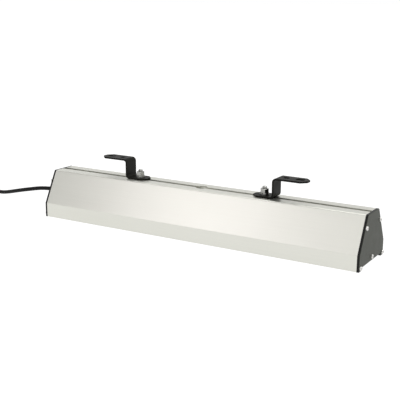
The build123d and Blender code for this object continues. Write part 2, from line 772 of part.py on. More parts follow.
with BuildPart() as cord_tie:
    with Locations((tie_x, coil_y, 0)):
        Box(*tie_box, align=(Align.CENTER, Align.CENTER, Align.MIN))
        with Locations((0, 0, COIL_BOTTOM)):
            Box(
                bundle_width,
                TIE_WIDTH,
                COIL_TOP - COIL_BOTTOM,
                align=(Align.CENTER, Align.CENTER, Align.MIN),
                mode=Mode.SUBTRACT,
            )
save(cord_tie, "cord_tie")

# Plug -------------------------------------------------------------------------------------------

plug_axis = Plane(origin=(PLUG_X, PLUG_Y, PLUG_Z), x_dir=(0, 1, 0), z_dir=(-1, 0, 0))
plug_face = plug_axis.offset(RELIEF + PLUG_BODY)
with BuildPart() as plug_body:
    with BuildSketch(Plane(origin=(PLUG_X, PLUG_Y, PLUG_Z), x_dir=(-1, 0, 0), z_dir=(0, 1, 0))):
        with BuildLine():
            Polyline(*PLUG_PROFILE, close=True)
        make_face()
    revolve(axis=Axis((PLUG_X, PLUG_Y, PLUG_Z), (-1, 0, 0)))
    with BuildSketch(plug_face):
        for side in (-1, 1):
            with Locations((0, side * (PLUG_RADIUS - EARTH_SLOT_DEPTH / 2))):
                Rectangle(EARTH_SLOT_WIDTH, EARTH_SLOT_DEPTH + 1)
    extrude(amount=-EARTH_CLIP_LENGTH, mode=Mode.SUBTRACT)
    with BuildSketch(plug_face):
        with GridLocations(PIN_PITCH, 1, 2, 1):
            Circle(PIN_DIAMETER / 2)
    extrude(amount=-PIN_ROOT, mode=Mode.SUBTRACT)
save(plug_body, "plug_body")

with BuildPart() as plug_pins:
    with BuildSketch(plug_face.offset(-PIN_ROOT)):
        with GridLocations(PIN_PITCH, 1, 2, 1):
            Circle(PIN_DIAMETER / 2)
    extrude(amount=PIN_LENGTH + PIN_ROOT)
    fillet(plug_pins.edges().group_by(Axis.X)[0], PIN_FILLET)
save(plug_pins, "plug_pins")

with BuildPart() as plug_earth_clips:
    with BuildSketch(plug_face):
        for side in (-1, 1):
            with Locations((0, side * (PLUG_RADIUS - EARTH_SLOT_DEPTH + 0.1))):
                Rectangle(EARTH_CLIP_WIDTH, EARTH_CLIP)
    extrude(amount=-EARTH_CLIP_LENGTH)
save(plug_earth_clips, "plug_earth_clips")

# Brackets ---------------------------------------------------------------------------------------

with BuildPart() as bracket:
    with BuildSketch(Plane.XZ):
        with BuildLine():
            underside = FilletPolyline(
                (FOOT_X, HEIGHT),
                (PLATE_X, HEIGHT),
                (PLATE_X, ARM_Z),
                (ARM_X, ARM_Z),
                radius=[BEND_OUTER, BEND_OUTER - BAR],
            )
            offset(underside, amount=BAR, side=Side.LEFT)
        make_face()
    extrude(amount=BAR_WIDTH / 2, both=True)
    upright = bracket.edges().filter_by(Axis.Z).group_by(Axis.X)
    chamfer(upright[0] + upright[-1], END_CUT)
    with BuildSketch(Plane.XY.offset(HEIGHT)):
        with Locations((BOLT_X, 0)):
            Circle(M8 / 2 + 0.5)
    extrude(amount=BAR, mode=Mode.SUBTRACT)
    with BuildSketch(Plane.XY.offset(ARM_Z)):
        with Locations((ROUND_HOLE_X, 0)):
            Circle(ROUND_HOLE_RADIUS)
        with Locations((SLOT_X, 0)):
            SlotOverall(SLOT_LENGTH, SLOT_WIDTH)
    extrude(amount=BAR, mode=Mode.SUBTRACT)

with BuildPart() as bracket_right:
    add(bracket.part.moved(Location((BRACKET_SHIFT, 0, 0))))
save(bracket_right, "bracket_right")

with BuildPart() as bracket_left:
    add(mirror(bracket.part, about=Plane.YZ, mode=Mode.PRIVATE).moved(Location((BRACKET_SHIFT, 0, 0))))
save(bracket_left, "bracket_left")

washer_z = HEIGHT + BAR
spring_z = washer_z + WASHER
nut_z = spring_z + SPRING


def slot_bolt(x):
    """A hexagon bolt whose head slides in the T-slot's channel."""
    with BuildPart() as bolt:
        with BuildSketch(Plane.XY.offset(LIP_Z)):
            with Locations((x, 0)):
                hexagon(M8_FLATS)
        extrude(amount=-M8_HEAD)
        with BuildSketch(Plane.XY.offset(LIP_Z)):
            with Locations((x, 0)):
                Circle(M8 / 2)
        extrude(amount=BOLT_TIP - LIP_Z)
        fillet(bolt.edges().group_by(Axis.Z)[-1], 1.4)
    return bolt


def washer(x):
    """The flat washer on the bracket's foot."""
    with BuildPart() as ring:
        with BuildSketch(Plane.XY.offset(washer_z)):
            with Locations((x, 0)):
                Circle(WASHER_RADIUS)
                Circle(M8 / 2 + 0.2, mode=Mode.SUBTRACT)
        extrude(amount=WASHER)
    return ring


def spring_washer(x):
    """The split spring washer under the nut."""
    with BuildPart() as ring:
        with BuildSketch(Plane.XY.offset(spring_z)):
            with Locations((x, 0)):
                Circle(SPRING_RADIUS)
                Circle(M8 / 2 + 0.1, mode=Mode.SUBTRACT)
            with Locations((x, -SPRING_RADIUS + 1)):
                Rectangle(1.2, 6, rotation=20, mode=Mode.SUBTRACT)
        extrude(amount=SPRING)
    return ring


def hexagon_nut(x):
    """The nut, with the corners of its hexagon turned off at both ends."""
    corner_radius = M8_FLATS / 3**0.5
    flats_radius = M8_FLATS / 2
    with BuildPart() as nut:
        with BuildSketch(Plane.XY.offset(nut_z)):
            with Locations((x, 0)):
                hexagon(M8_FLATS)
        extrude(amount=NUT)
        with BuildSketch(Plane(origin=(x, 0, nut_z), x_dir=(1, 0, 0), z_dir=(0, -1, 0))):
            with BuildLine():
                Polyline(
                    (0, 0),
                    (flats_radius - 0.1, 0),
                    (corner_radius, NUT_TURNED),
                    (corner_radius, NUT - NUT_TURNED),
                    (flats_radius - 0.1, NUT),
                    (0, NUT),
                    close=True,
                )
            make_face()
        revolve(axis=Axis((x, 0, 0), (0, 0, 1)), mode=Mode.INTERSECT)
        with BuildSketch(Plane.XY.offset(nut_z)):
            with Locations((x, 0)):
                Circle(M8 / 2)
        extrude(amount=NUT, mode=Mode.SUBTRACT)
    return nut


for side, name in ((-1, "left"), (1, "right")):
    bolt_x = side * BOLT_X + BRACKET_SHIFT
    save(slot_bolt(bolt_x), f"slot_bolt_{name}")
    save(washer(bolt_x), f"washer_{name}")
    save(spring_washer(bolt_x), f"spring_washer_{name}")
    save(hexagon_nut(bolt_x), f"nut_{name}")
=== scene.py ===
import json
from math import copysign, cos, radians, sin, tau

import bmesh
import bpy
from mathutils import Matrix, Vector, noise


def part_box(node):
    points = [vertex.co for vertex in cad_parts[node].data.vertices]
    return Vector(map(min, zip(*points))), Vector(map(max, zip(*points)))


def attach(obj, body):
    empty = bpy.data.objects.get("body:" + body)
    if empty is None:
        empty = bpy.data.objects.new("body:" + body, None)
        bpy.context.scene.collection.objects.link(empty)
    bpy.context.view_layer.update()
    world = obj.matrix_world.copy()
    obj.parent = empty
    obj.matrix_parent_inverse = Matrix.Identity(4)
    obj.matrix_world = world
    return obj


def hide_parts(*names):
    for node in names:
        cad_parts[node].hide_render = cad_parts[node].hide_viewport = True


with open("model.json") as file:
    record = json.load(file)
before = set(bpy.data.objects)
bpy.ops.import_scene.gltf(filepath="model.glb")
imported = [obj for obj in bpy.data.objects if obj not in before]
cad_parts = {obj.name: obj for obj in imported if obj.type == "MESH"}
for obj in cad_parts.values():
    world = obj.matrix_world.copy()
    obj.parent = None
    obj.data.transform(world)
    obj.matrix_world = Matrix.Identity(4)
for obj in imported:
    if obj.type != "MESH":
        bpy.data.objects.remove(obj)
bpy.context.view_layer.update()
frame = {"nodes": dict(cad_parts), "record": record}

# The infrared strip warmer in metres: X along the hood, the cord at -X, the front at -Y, Z up.
scene = bpy.context.scene
MM = 0.001

# Camera -----------------------------------------------------------------------------------------

AZIMUTH, ELEVATION, ROLL = radians(30.944), radians(14.122), radians(0.248)
AIM = Vector((-0.00321, 0.0, 0.05938))
DISTANCE = 1.39746
SENSOR, LENS = 36.0, 73.685
NEAR, FAR = 0.05, 100.0

back = Vector((sin(AZIMUTH) * cos(ELEVATION), -cos(AZIMUTH) * cos(ELEVATION), sin(ELEVATION)))
level = Vector((cos(AZIMUTH), sin(AZIMUTH), 0.0))
upright = back.cross(level)
right = cos(ROLL) * level + sin(ROLL) * upright
up = cos(ROLL) * upright - sin(ROLL) * level
camera = bpy.data.objects.new("camera", bpy.data.cameras.new("camera"))
scene.collection.objects.link(camera)
camera.data.sensor_width, camera.data.lens = SENSOR, LENS
camera.data.clip_start, camera.data.clip_end = NEAR, FAR
placed = Matrix((right, up, back)).transposed().to_4x4()
placed.translation = AIM + DISTANCE * back
camera.matrix_world = placed
scene.camera = camera

# Materials --------------------------------------------------------------------------------------


def blank(name):
    """A new material's node tree and its Principled shader."""
    material = bpy.data.materials.new(name)
    material.use_nodes = True
    tree = material.node_tree
    return material, tree, tree.nodes["Principled BSDF"]


def node(tree, kind, **values):
    """A node of that kind. A value whose name is a socket's goes there, and any other is an attribute."""
    made = tree.nodes.new(kind)
    for key, value in values.items():
        if key in made.inputs:
            made.inputs[key].default_value = value
        else:
            setattr(made, key, value)
    return made


def grain(tree, scale, stretch=(1, 1, 1), detail=4.0):
    """Noise over the object's own coordinates, with that scale in each metre times the stretch per axis."""
    where = tree.nodes.new("ShaderNodeTexCoord")
    mapping = tree.nodes.new("ShaderNodeMapping")
    mapping.inputs["Scale"].default_value = [scale * s for s in stretch]
    texture = node(tree, "ShaderNodeTexNoise", Scale=1.0, Detail=detail, Roughness=0.6)
    tree.links.new(where.outputs["Object"], mapping.inputs["Vector"])
    tree.links.new(mapping.outputs["Vector"], texture.inputs["Vector"])
    return texture.outputs["Fac"]


def ramp(tree, factor, low, high, first, last):
    """A colour that runs from first to last as the factor goes from low to high."""
    made = tree.nodes.new("ShaderNodeValToRGB")
    start, end = made.color_ramp.elements
    start.position, end.position = low, high
    start.color, end.color = (*first, 1.0), (*last, 1.0)
    tree.links.new(factor, made.inputs["Fac"])
    return made.outputs["Color"]


def spread(tree, factor, low, high):
    """The factor's middle range, where noise mostly lies, stretched to run from low to high."""
    made = tree.nodes.new("ShaderNodeMapRange")
    for socket, value in (("From Min", 0.3), ("From Max", 0.7), ("To Min", low), ("To Max", high)):
        made.inputs[socket].default_value = value
    tree.links.new(factor, made.inputs["Value"])
    return made.outputs["Result"]


def bumps(tree, layers):
    """Bump nodes in a chain, one for each (height, strength, distance)."""
    normal = None
    for height, strength, distance in layers:
        made = node(tree, "ShaderNodeBump", Strength=strength, Distance=distance)
        tree.links.new(height, made.inputs["Height"])
        if normal:
            tree.links.new(normal, made.inputs["Normal"])
        normal = made.outputs["Normal"]
    return normal


def surface(name, dark, light, rough, scale, stretch=(1, 1, 1), metallic=0.0, fine=1500, bump=0.2,
            depth=0.1, specular=0.5, coat=0.0):
    """A finish with mottled colour, uneven gloss and a fine relief, all from noise on the object."""
    material, tree, shader = blank(name)
    mottle = grain(tree, scale, stretch)
    relief = grain(tree, fine, stretch, 3.0)
    tree.links.new(ramp(tree, mottle, 0.3, 0.7, dark, light), shader.inputs["Base Color"])
    tree.links.new(spread(tree, mottle, *rough), shader.inputs["Roughness"])
    tree.links.new(bumps(tree, [(relief, bump, depth * MM)]), shader.inputs["Normal"])
    shader.inputs["Metallic"].default_value = metallic
    shader.inputs["Specular IOR Level"].default_value = specular
    shader.inputs["Coat Weight"].default_value = coat
    return material


def anodised_aluminium():
    """Matt etched aluminium: fine die lines along the extrusion under an even satin grain."""
    material, tree, shader = blank("anodised_aluminium")
    lines = grain(tree, 1.0, (3, 900, 900), 5.0)
    cloud = grain(tree, 7.0, (0.5, 1, 1), 3.0)
    matt = grain(tree, 3500.0, detail=2.0)
    colour = ramp(tree, cloud, 0.25, 0.75, (0.652, 0.652, 0.596), (0.686, 0.685, 0.632))
    streak = ramp(tree, lines, 0.3, 0.7, (0.965, 0.965, 0.965), (1, 1, 1))
    mix = node(tree, "ShaderNodeMix", data_type="RGBA", blend_type="MULTIPLY")
    mix.inputs[0].default_value = 1.0
    tree.links.new(colour, mix.inputs[6])
    tree.links.new(streak, mix.inputs[7])
    tree.links.new(mix.outputs[2], shader.inputs["Base Color"])
    tree.links.new(spread(tree, lines, 0.385, 0.425), shader.inputs["Roughness"])
    relief = bumps(tree, [(lines, 0.15, 0.05 * MM), (matt, 0.12, 0.05 * MM)])
    tree.links.new(relief, shader.inputs["Normal"])
    shader.inputs["Metallic"].default_value = 1.0
    return material


def cap_plate():
    """Dark grey powder coat with a fine orange peel. Its edges, where the normal turns away from X, get a
    painted shade that is nearly black.
    """
    material, tree, shader = blank("cap_plate")
    where = tree.nodes.new("ShaderNodeTexCoord")
    split = tree.nodes.new("ShaderNodeSeparateXYZ")
    tree.links.new(where.outputs["Normal"], split.inputs["Vector"])
    painted_edge_shade_mask = node(tree, "ShaderNodeMath", operation="ABSOLUTE")
    tree.links.new(split.outputs["X"], painted_edge_shade_mask.inputs[0])
    mottle = grain(tree, 60.0)
    face = ramp(tree, mottle, 0.3, 0.7, (0.034, 0.037, 0.028), (0.042, 0.045, 0.035))
    # Painted shade: where the normal turns away from X, on the plate's edges, the colour goes to near black.
    mix = node(tree, "ShaderNodeMix", data_type="RGBA")
    tree.links.new(spread(tree, painted_edge_shade_mask.outputs[0], 0.0, 1.0), mix.inputs[0])
    mix.inputs[6].default_value = (0.006, 0.006, 0.006, 1.0)
    tree.links.new(face, mix.inputs[7])
    tree.links.new(mix.outputs[2], shader.inputs["Base Color"])
    tree.links.new(spread(tree, mottle, 0.42, 0.5), shader.inputs["Roughness"])
    shader.inputs["Specular IOR Level"].default_value = 0.17
    tree.links.new(bumps(tree, [(grain(tree, 1300.0, detail=2.0), 0.25, 0.06 * MM)]), shader.inputs["Normal"])
    return material


def galvanised():
    """Zinc-coated sheet with its crystal spangle."""
    material, tree, shader = blank("sheet_steel")
    where = tree.nodes.new("ShaderNodeTexCoord")
    cells = node(tree, "ShaderNodeTexVoronoi", Scale=160.0)
    tree.links.new(where.outputs["Object"], cells.inputs["Vector"])
    grey = tree.nodes.new("ShaderNodeRGBToBW")
    tree.links.new(cells.outputs["Color"], grey.inputs["Color"])
    colour = ramp(tree, grey.outputs["Val"], 0.2, 0.8, (0.47, 0.48, 0.49), (0.62, 0.63, 0.63))
    tree.links.new(colour, shader.inputs["Base Color"])
    tree.links.new(spread(tree, grey.outputs["Val"], 0.28, 0.42), shader.inputs["Roughness"])
    tree.links.new(bumps(tree, [(grain(tree, 900.0), 0.1, 0.05 * MM)]), shader.inputs["Normal"])
    shader.inputs["Metallic"].default_value = 1.0
    return material


def quartz():
    """Clear fused quartz with faint drawing lines along the tube."""
    material, tree, shader = blank("quartz")
    lines = grain(tree, 1.0, (4, 700, 700), 2.0)
    tree.links.new(ramp(tree, lines, 0.3, 0.7, (0.93, 0.95, 0.95), (1, 1, 1)), shader.inputs["Base Color"])
    tree.links.new(spread(tree, lines, 0.01, 0.05), shader.inputs["Roughness"])
    tree.links.new(bumps(tree, [(lines, 0.08, 0.04 * MM)]), shader.inputs["Normal"])
    shader.inputs["Transmission Weight"].default_value = 1.0
    shader.inputs["IOR"].default_value = 1.458
    return material


def braided(name, first, second):
    """A woven sleeve: two crossing waves of threads."""
    material, tree, shader = blank(name)
    where = tree.nodes.new("ShaderNodeTexCoord")
    heights = []
    for turn in (0.7, -0.7):
        mapping = tree.nodes.new("ShaderNodeMapping")
        mapping.inputs["Rotation"].default_value = (turn, turn, turn)
        wave = node(tree, "ShaderNodeTexWave", Scale=260.0, Distortion=0.6)
        tree.links.new(where.outputs["Object"], mapping.inputs["Vector"])
        tree.links.new(mapping.outputs["Vector"], wave.inputs["Vector"])
        heights.append(wave.outputs["Fac"])
    tree.links.new(ramp(tree, heights[0], 0.2, 0.8, first, second), shader.inputs["Base Color"])
    tree.links.new(spread(tree, heights[1], 0.55, 0.75), shader.inputs["Roughness"])
    relief = bumps(tree, [(heights[0], 0.5, 0.15 * MM), (heights[1], 0.5, 0.15 * MM)])
    tree.links.new(relief, shader.inputs["Normal"])
    return material


def earth_sleeve():
    """Green insulation with a yellow stripe along its upper side."""
    material, tree, shader = blank("earth_sleeve")
    where = tree.nodes.new("ShaderNodeTexCoord")
    split = tree.nodes.new("ShaderNodeSeparateXYZ")
    tree.links.new(where.outputs["Normal"], split.inputs["Vector"])
    stripe = ramp(tree, split.outputs["Z"], 0.18, 0.24, (0.05, 0.26, 0.05), (0.72, 0.62, 0.05))
    tree.links.new(stripe, shader.inputs["Base Color"])
    fine = grain(tree, 800.0)
    tree.links.new(spread(tree, fine, 0.35, 0.5), shader.inputs["Roughness"])
    tree.links.new(bumps(tree, [(fine, 0.15, 0.05 * MM)]), shader.inputs["Normal"])
    return material


finishes = {
    "anodised_aluminium": anodised_aluminium(),
    "cap_plate": cap_plate(),
    "sheet_steel": galvanised(),
    "quartz": quartz(),
    "earth_sleeve": earth_sleeve(),
    "lead_sleeve": braided("lead_sleeve", (0.66, 0.64, 0.58), (0.84, 0.83, 0.78)),
    "zinc_steel": surface("zinc_steel", (0.26, 0.26, 0.245), (0.42, 0.42, 0.40), (0.2, 0.34), 180,
                          metallic=1.0, fine=1400, bump=0.12),
    "stainless": surface("stainless", (0.60, 0.59, 0.57), (0.74, 0.73, 0.71), (0.28, 0.4), 120,
                         metallic=1.0, fine=1600, bump=0.1),
    "polished_aluminium": surface("polished_aluminium", (0.84, 0.84, 0.85), (0.9, 0.9, 0.9), (0.08, 0.16),
                                  14, metallic=1.0, fine=60, bump=0.05, depth=0.4),
    "ceramic_fibre": surface("ceramic_fibre", (0.74, 0.73, 0.69), (0.86, 0.85, 0.82), (0.9, 1.0), 300,
                             fine=1800, bump=0.7, depth=0.3, specular=0.1),
    "resistance_wire": surface("resistance_wire", (0.10, 0.09, 0.085), (0.2, 0.18, 0.165), (0.35, 0.55),
                               400, metallic=1.0, fine=2500, bump=0.2),
    "steatite": surface("steatite", (0.70, 0.67, 0.60), (0.80, 0.78, 0.72), (0.5, 0.65), 220,
                        fine=1400, bump=0.2),
    "brass": surface("brass", (0.60, 0.44, 0.20), (0.74, 0.58, 0.30), (0.22, 0.36), 200,
                     metallic=1.0, fine=1500, bump=0.1),
    "core_brown": surface("core_brown", (0.14, 0.065, 0.03), (0.19, 0.09, 0.045), (0.35, 0.5), 200),
    "core_blue": surface("core_blue", (0.02, 0.07, 0.24), (0.035, 0.10, 0.32), (0.35, 0.5), 200),
    "black_polyamide": surface("black_polyamide", (0.007, 0.007, 0.007), (0.013, 0.013, 0.0125),
                               (0.4, 0.54), 120, fine=1700, bump=0.25, specular=0.3),
    "cord_rubber": surface("cord_rubber", (0.0045, 0.0045, 0.0045), (0.0085, 0.0085, 0.008), (0.46, 0.6),
                           90, fine=1300, bump=0.25, specular=0.08),
    "tie_strap": surface("tie_strap", (0.008, 0.008, 0.008), (0.03, 0.03, 0.03), (0.85, 1.0), 900,
                         fine=2200, bump=1.0, depth=0.5, specular=0.15),
    "plug_rubber": surface("plug_rubber", (0.012, 0.012, 0.012), (0.024, 0.024, 0.023), (0.45, 0.6), 110,
                           fine=1500, bump=0.3),
    "nickel_brass": surface("nickel_brass", (0.58, 0.55, 0.50), (0.70, 0.68, 0.63), (0.14, 0.26), 1.0,
                            (60, 900, 900), metallic=1.0, fine=2, bump=0.1),
    "black_coated_steel": surface("black_coated_steel", (0.0045, 0.0045, 0.0031), (0.0078, 0.0077, 0.0057),
                                  (0.42, 0.54), 70, fine=1500, bump=0.3, depth=0.08, specular=0.09),
}

# Cord -------------------------------------------------------------------------------------------

CORD = 7.5
ROUTE_OUT = [
    (-290.0, 0.0, 39.0), (-346.0, 0.0, 39.0), (-402.0, 4.5, 27.0), (-440.0, 13.0, 17.5),
    (-472.0, 22.5, 9.0), (-499.0, 30.5, 3.75), (-521.0, 37.5, 3.75), (-538.5, 42.5, 4.75),
    (-552.0, 42.5, 4.75), (-574.0, 42.5, 4.75),
]
ROUTE_BACK = [
    (-594.0, 44.4, 12.25), (-616.0, 44.4, 12.25), (-633.0, 44.4, 12.25), (-653.0, 43.0, 19.0),
    (-669.0, 43.0, 19.0), (-673.0, 43.0, 19.0),
]
COIL_X, COIL_Y = -584.0, -8.0
OUTER_TURN, INNER_TURN, LAST_TURN = 50.5, 29.875, 52.4
LOW_LAYER, HIGH_LAYER = 4.75, 12.25
POINTS_PER_TURN = 16
TURNS = 6
TURNS_DOWN, TURNS_UP = 2.75, 3.0
START_TURN = 0.25
# The curve runs a little inside its control points: its radius over theirs.
INSIDE = 0.981


def coil_points():
    """Control points of the coil: a spiral in on the floor, then a second layer that winds out on it."""
    for step in range(TURNS * POINTS_PER_TURN):
        turn = (step + 0.5) / POINTS_PER_TURN
        if turn < TURNS_DOWN:
            radius = OUTER_TURN - (OUTER_TURN - INNER_TURN) * turn / TURNS_DOWN
        else:
            out = max(0.0, turn - TURNS_UP) / (TURNS - TURNS_UP)
            radius = INNER_TURN + (LAST_TURN - INNER_TURN) * out
        rise = min(1.0, max(0.0, (turn - TURNS_DOWN) / (TURNS_UP - TURNS_DOWN)))
        height = LOW_LAYER + (HIGH_LAYER - LOW_LAYER) * rise * rise * (3 - 2 * rise)
        angle = tau * (turn + START_TURN)
        reach = radius / INSIDE
        yield COIL_X + reach * cos(angle), COIL_Y + reach * sin(angle), height


points = ROUTE_OUT + list(coil_points()) + ROUTE_BACK
line = bpy.data.curves.new("mains_cord", "CURVE")
line.dimensions = "3D"
spline = line.splines.new("NURBS")
spline.points.add(len(points) - 1)
for target, (x, y, z) in zip(spline.points, points):
    target.co = (x * MM, y * MM, z * MM, 1.0)
spline.order_u = 3
spline.use_endpoint_u = True
line.resolution_u = 6
line.bevel_depth = CORD / 2 * MM
line.bevel_resolution = 6
line.use_fill_caps = True
cord = bpy.data.objects.new("mains_cord", line)
scene.collection.objects.link(cord)
cord.data.materials.append(finishes["cord_rubber"])
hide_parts("supply_cord", "cord_coil", "cord_tail")
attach(cord, "hood")

# Pieces -----------------------------------------------------------------------------------------


def piece(name, mesh, slot_name, body, *replaced):
    """A finished mesh as a named piece on a body, standing for those CAD nodes."""
    made = bpy.data.objects.new(name, mesh)
    scene.collection.objects.link(made)
    mesh.materials.append(finishes[slot_name])
    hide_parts(*replaced)
    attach(made, body)
    return made


def skin(name, rings, smooth=True):
    """A mesh over rings of equal numbers of points, with the first and last ring filled in as its ends."""
    shape = bmesh.new()
    made = [[shape.verts.new(point) for point in ring] for ring in rings]
    for first, second in zip(made, made[1:]):
        for i in range(len(first)):
            j = (i + 1) % len(first)
            shape.faces.new((first[i], first[j], second[j], second[i]))
    shape.faces.new(list(reversed(made[0])))
    shape.faces.new(made[-1])
    bmesh.ops.recalc_face_normals(shape, faces=shape.faces)
    mesh = bpy.data.meshes.new(name)
    shape.to_mesh(mesh)
    shape.free()
    if smooth:
        mesh.polygons.foreach_set("use_smooth", [len(p.vertices) == 4 for p in mesh.polygons])
    return mesh


def resistance_coil():
    """The wound wire inside the quartz tube."""
    low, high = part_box("heating_coil")
    axis_z = (low.z + high.z) / 2
    wire_radius, pitch = 0.45 * MM, 2.4 * MM
    steps_per_turn, sides = 14, 6
    radius = (high.z - low.z) / 2 - wire_radius
    length = high.x - low.x - 2 * wire_radius
    steps = int(length / pitch * steps_per_turn)
    along = Vector((1, 0, 0))
    rings = []
    for step in range(steps + 1):
        angle = tau * step / steps_per_turn
        outward = Vector((0, cos(angle), sin(angle)))
        centre = Vector((low.x + wire_radius + length * step / steps, 0, axis_z)) + radius * outward
        rings.append([centre + wire_radius * (cos(tau * k / sides) * outward + sin(tau * k / sides) * along)
                      for k in range(sides)])
    piece("resistance_coil", skin("resistance_coil", rings), "resistance_wire", "hood", "heating_coil")


resistance_coil()


def ring_x(x, centre_y, centre_z, radii):
    """A ring of points across X, one for each of the radii, given once round from +Y."""
    count = len(radii)
    return [Vector((x, centre_y + radius * cos(tau * k / count), centre_z + radius * sin(tau * k / count)))
            for k, radius in enumerate(radii)]


def ring_z(z, centre_x, centre_y, radius_at, count):
    """A ring of points across Z, with its radius as a function of the angle from +X."""
    angles = [tau * k / count for k in range(count)]
    return [Vector((centre_x + radius_at(angle) * cos(angle), centre_y + radius_at(angle) * sin(angle), z))
            for angle in angles]


def threaded_bolt(side):
    """The bracket's bolt: a hexagon head with turned corners, and a rolled thread up to a chamfered tip."""
    low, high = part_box(f"slot_bolt_{side}")
    centre = (low.x + high.x) / 2, (low.y + high.y) / 2
    seat = low.z + 5.3 * MM
    across_flats, corner, turned_corner, turned_height = 13.0 * MM, 7.5 * MM, 6.4 * MM, 0.7 * MM
    pitch, crest, root, chamfer, chamfer_slope = 1.25 * MM, 3.98 * MM, 3.35 * MM, 1.1 * MM, 0.8
    flank, crest_flat = 1.3, 0.15
    around, per_pitch, overlap = 36, 8, 0.3 * MM

    def head(limit):
        def radius_at(angle):
            from_flat = (angle + tau / 12) % (tau / 6) - tau / 12
            return min(across_flats / 2 / cos(from_flat), limit)
        return radius_at

    def thread(z):
        limit = crest - max(0.0, z - (high.z - chamfer)) * chamfer_slope

        def radius_at(angle):
            phase = (z / pitch - angle / tau) % 1.0
            ridge = 1.0 - min(1.0, max(0.0, abs(2.0 * phase - 1.0) * flank - crest_flat))
            return min(limit, root + (crest - root) * ridge)
        return radius_at

    head_rings = [ring_z(low.z, *centre, head(turned_corner), around),
                  ring_z(low.z + turned_height, *centre, head(corner), around),
                  ring_z(seat, *centre, head(corner), around)]
    start = seat - overlap
    rows = int((high.z - seat) / pitch * per_pitch)
    heights = [start + (high.z - start) * row / rows for row in range(rows + 1)]
    shank = skin("shank", [ring_z(z, *centre, thread(z), around) for z in heights], smooth=False)
    mesh = skin(f"threaded_bolt_{side}", head_rings, smooth=False)
    joined = bmesh.new()
    joined.from_mesh(mesh)
    joined.from_mesh(shank)
    joined.to_mesh(mesh)
    joined.free()
    bpy.data.meshes.remove(shank)
    piece(f"threaded_bolt_{side}", mesh, "zinc_steel", f"{side}_clamp", f"slot_bolt_{side}")


threaded_bolt("left")
threaded_bolt("right")


def ceramic_blanket():
    """The needled fibre mat on the reflector, with its soft edges and uneven thickness."""
    low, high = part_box("insulation_blanket")
    stations, around = 120, 40
    end_tapers = {0: 0.86, 1: 0.96}
    corner_across, corner_over = 0.25, 0.45
    sag, edge_wander = 1.3 * MM, 0.025
    top_seed, bottom_seed, edge_seed = 4.0, 9.0, 21.0
    half_width, half_height = (high.y - low.y) / 2, (high.z - low.z) / 2
    middle_z = (low.z + high.z) / 2
    rings = []
    for i in range(stations + 1):
        x = low.x + (high.x - low.x) * i / stations
        taper = end_tapers.get(min(i, stations - i), 1.0)
        ring = []
        for k in range(around):
            angle = tau * k / around
            across = copysign(abs(cos(angle)) ** corner_across, cos(angle)) * half_width * (0.5 + 0.5 * taper)
            over = copysign(abs(sin(angle)) ** corner_over, sin(angle)) * half_height * taper
            wave = noise.noise(Vector((x * 32, across * 45, top_seed if over > 0 else bottom_seed)))
            if over > 0:
                over -= (0.5 + 0.5 * wave) * sag
            across *= 1.0 - edge_wander * (1.0 + noise.noise(Vector((x * 55, across * 5, edge_seed))))
            ring.append(Vector((x, across, middle_z + over)))
        rings.append(ring)
    mesh = skin("ceramic_blanket", rings)
    mat = piece("ceramic_blanket", mesh, "ceramic_fibre", "hood", "insulation_blanket")


ceramic_blanket()

STRAP_CORNERS = [(31.8, HIGH_LAYER), (46.8, HIGH_LAYER), (48.6, LOW_LAYER), (33.6, LOW_LAYER)]
STRAP_THICK, STRAP_WIDTH, STRAP_EDGE = 0.9, 8.0, 0.3
STRAP_EDGE_HALF, STRAP_GAP = 0.2, 0.05
STRAP_LAP = 0.95
BEND_STEPS = 8


def strap_line():
    """Stations once round the bundle and over its start, as (corner, outward normal, lap from 0 to 1).

    The strap starts at the end of the first corner's bend, laps up over itself round that corner the second
    time, and stops part of the way round the next one.
    """
    bends = [(0, (BEND_STEPS,)), (1, range(BEND_STEPS + 1)), (2, range(BEND_STEPS + 1)),
             (3, range(BEND_STEPS + 1)), (4, range(BEND_STEPS + 1)), (5, range(4))]
    for index, steps in bends:
        before, here, after = (Vector(STRAP_CORNERS[(index + k) % 4]) for k in (-1, 0, 1))
        arriving, leaving = here - before, after - here
        first = Vector((-arriving.y, arriving.x))
        last = Vector((-leaving.y, leaving.x))
        turn = abs(last.angle_signed(first))
        for step in steps:
            direction = first.copy()
            direction.rotate(Matrix.Rotation(-turn * step / BEND_STEPS, 2))
            lap = min(1.0, max(0.0, index - 4 + step / BEND_STEPS))
            yield here, direction.normalized(), lap


def hook_and_loop_strap():
    """The strap round the coil's turns, with its free end lapped over the top."""
    rings = []
    half_width, half_thick = STRAP_WIDTH / 2, STRAP_THICK / 2
    flat = half_width - STRAP_EDGE
    section = [(-half_width, -STRAP_EDGE_HALF), (-flat, -half_thick), (flat, -half_thick),
               (half_width, -STRAP_EDGE_HALF), (half_width, STRAP_EDGE_HALF), (flat, half_thick),
               (-flat, half_thick), (-half_width, STRAP_EDGE_HALF)]
    for corner, normal, lap in strap_line():
        reach = CORD / 2 + STRAP_GAP + half_thick + STRAP_LAP * lap
        ring = []
        for along, out in section:
            distance = corner.x + normal.x * (reach + out)
            height = corner.y + normal.y * (reach + out)
            ring.append(Vector((COIL_X - distance, COIL_Y + along, height)) * MM)
        rings.append(ring)
    piece("cord_strap", skin("cord_strap", rings, smooth=False), "tie_strap", "hood", "cord_tie")


hook_and_loop_strap()

